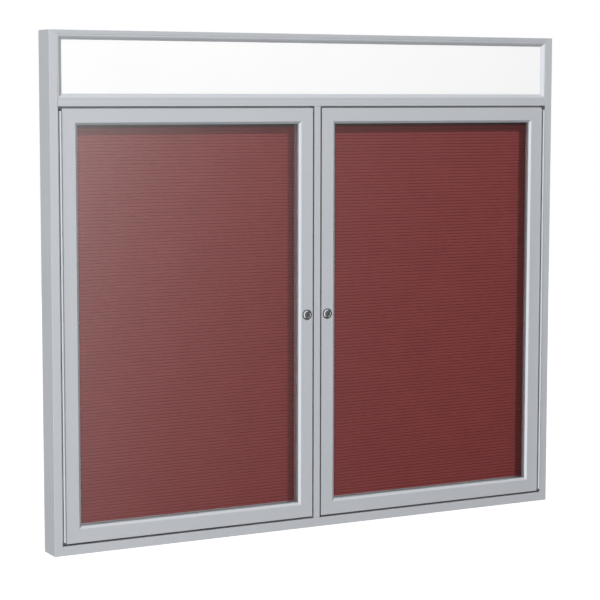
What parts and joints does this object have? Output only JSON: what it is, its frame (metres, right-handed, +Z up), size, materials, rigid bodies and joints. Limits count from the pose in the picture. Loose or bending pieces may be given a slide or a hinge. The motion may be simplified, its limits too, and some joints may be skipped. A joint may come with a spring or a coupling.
{
  "type": "lockable notice board",
  "caption": "Shallow wall cabinet with a plain header panel above hinged, glazed, lockable doors that cover grooved letter panels.",
  "frame": {"origin": "the middle of the back, on the rear face of the back sheet, which lies against the wall", "axes": "+X to the right as seen by a reader in front, +Y into the wall, so the doors face -Y, and +Z up"},
  "size_m": [1.2192, 0.062, 1.0668],
  "materials": {
    "frame": "satin anodised",
    "door": "satin anodised",
    "header": "plain white, smooth",
    "back_sheet": "mill finish",
    "letter_face": "burgundy felt over a grooved board",
    "panel_core": "raw fibreboard",
    "key": "cast, unfinished",
    "seal": "foam strip",
    "gasket": "extruded channel",
    "hinge": "satin",
    "pane": "clear",
    "lock": "polished nickel",
    "plug": "polished nickel",
    "cam": "plated"
  },
  "bodies": {
    "cabinet": {"left_stile": "frame", "right_stile": "frame", "bottom_rail": "frame", "top_rail": "frame", "transom_rail": "frame", "centre_mullion": "frame", "mullion_spine": "frame", "divider_strip": "frame", "header_bead_top": "frame", "header_bead_bottom": "frame", "header_bead_left": "frame", "header_bead_right": "frame", "header_panel": "header", "back_sheet": "back_sheet", "left_letter_face": "letter_face", "left_panel_core": "panel_core", "left_bottom_corner_key": "key", "left_top_corner_key": "key", "left_door_seal": "seal", "left_hinge_frame_leaf": "hinge", "left_hinge_pin": "hinge", "right_letter_face": "letter_face", "right_panel_core": "panel_core", "right_bottom_corner_key": "key", "right_top_corner_key": "key", "right_door_seal": "seal", "right_hinge_frame_leaf": "hinge", "right_hinge_pin": "hinge"},
    "left_door": {"left_door_hinge_stile": "door", "left_door_lock_stile": "door", "left_door_bottom_rail": "door", "left_door_top_rail": "door", "left_door_pane": "pane", "left_door_gasket": "gasket", "left_door_hinge_bottom_key": "key", "left_door_hinge_top_key": "key", "left_door_lock_bottom_key": "key", "left_door_lock_top_key": "key", "left_hinge_door_leaf": "hinge", "left_lock_body": "lock", "left_lock_nut": "lock"},
    "right_door": {"right_door_hinge_stile": "door", "right_door_lock_stile": "door", "right_door_bottom_rail": "door", "right_door_top_rail": "door", "right_door_pane": "pane", "right_door_gasket": "gasket", "right_door_hinge_bottom_key": "key", "right_door_hinge_top_key": "key", "right_door_lock_bottom_key": "key", "right_door_lock_top_key": "key", "right_hinge_door_leaf": "hinge", "right_lock_body": "lock", "right_lock_nut": "lock"},
    "left_lock": {"left_lock_plug": "plug", "left_lock_cam": "cam", "left_lock_cam_screw": "cam"},
    "right_lock": {"right_lock_plug": "plug", "right_lock_cam": "cam", "right_lock_cam_screw": "cam"}
  },
  "joints": [
    {"name": "left_door_hinge", "type": "hinge", "parent": "cabinet", "child": "left_door", "pos_m": [-0.58775, -0.05955, -0.06645], "axis": [0, 0, -1], "range_deg": [0, 175]},
    {"name": "right_door_hinge", "type": "hinge", "parent": "cabinet", "child": "right_door", "pos_m": [0.58775, -0.05955, -0.06645], "axis": [0, 0, 1], "range_deg": [0, 175]},
    {"name": "left_lock_turn", "type": "hinge", "parent": "left_door", "child": "left_lock", "pos_m": [-0.0249, -0.05715, -0.06645], "axis": [0, -1, 0], "range_deg": [0, 90]},
    {"name": "right_lock_turn", "type": "hinge", "parent": "right_door", "child": "right_lock", "pos_m": [0.0249, -0.05715, -0.06645], "axis": [0, 1, 0], "range_deg": [0, 90]}
  ]
}
